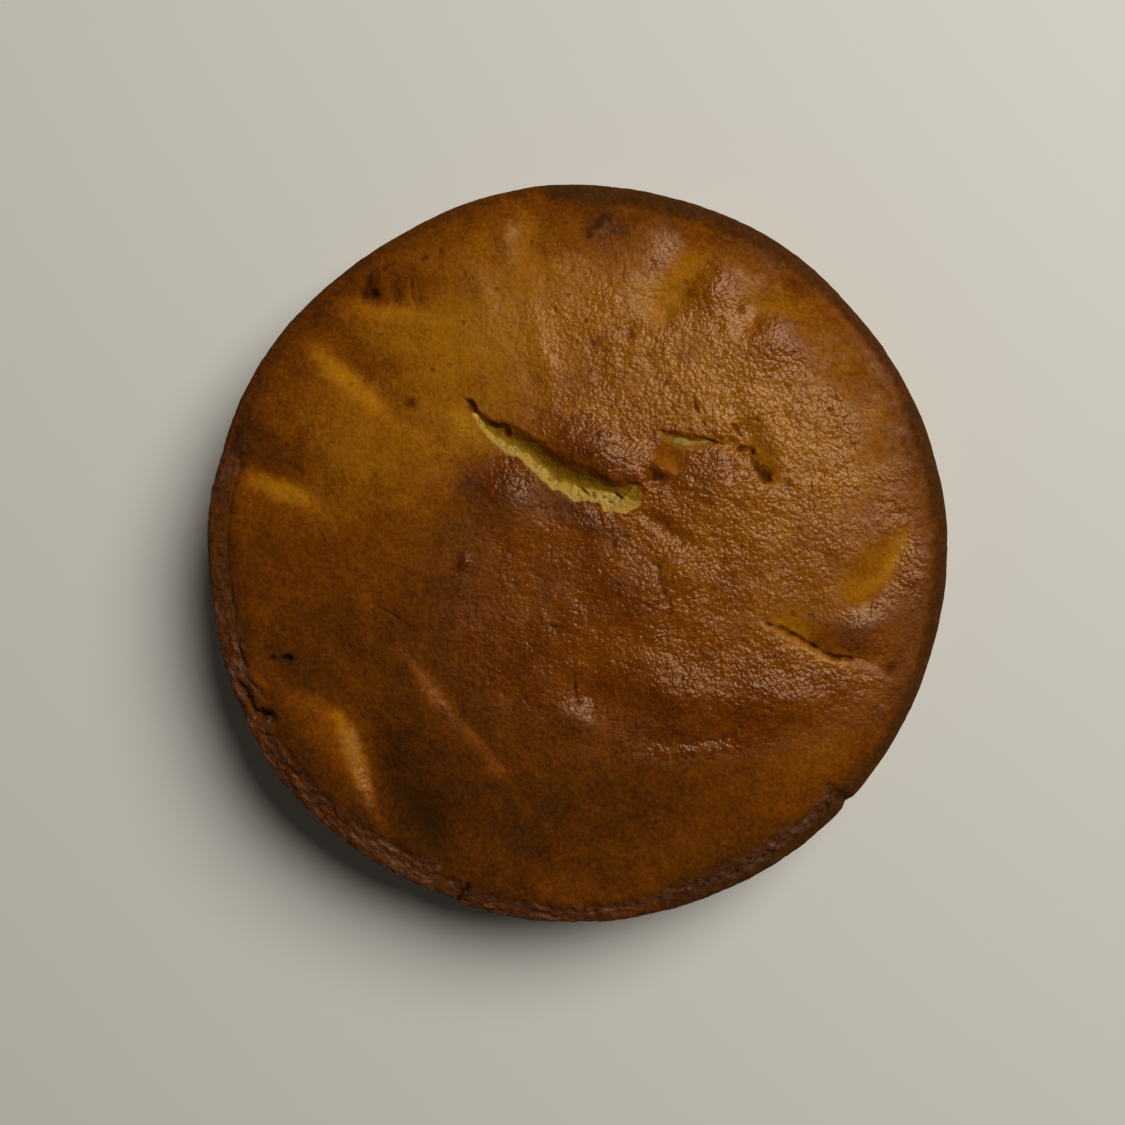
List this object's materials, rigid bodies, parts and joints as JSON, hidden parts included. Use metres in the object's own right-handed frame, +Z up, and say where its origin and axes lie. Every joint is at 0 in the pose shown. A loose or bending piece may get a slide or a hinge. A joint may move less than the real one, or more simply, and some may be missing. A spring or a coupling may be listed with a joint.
{
  "type": "apple cake",
  "caption": "Whole round apple cake with a domed, golden to dark brown crust, humps and furrows, a burst crack across the crown and a broken rolled rim, resting on its flat base.",
  "frame": {"origin": "middle of the flat base, on the surface the cake stands on", "axes": "+Z up through the crown; +X and +Y lie in the base, with the burst crack running from the -X +Y side towards +X"},
  "size_m": [0.2606, 0.2602, 0.0529],
  "materials": {
    "crust": "baked golden to dark brown crust, fine wrinkles with a soft satin gloss",
    "apple_flesh": "cooked pale green apple flesh, moist",
    "crumb": "torn pale yellow crumb, matte and porous"
  },
  "bodies": {
    "root": {"cake": "crust", "apple_wedge": "apple_flesh"}
  },
  "joints": []
}
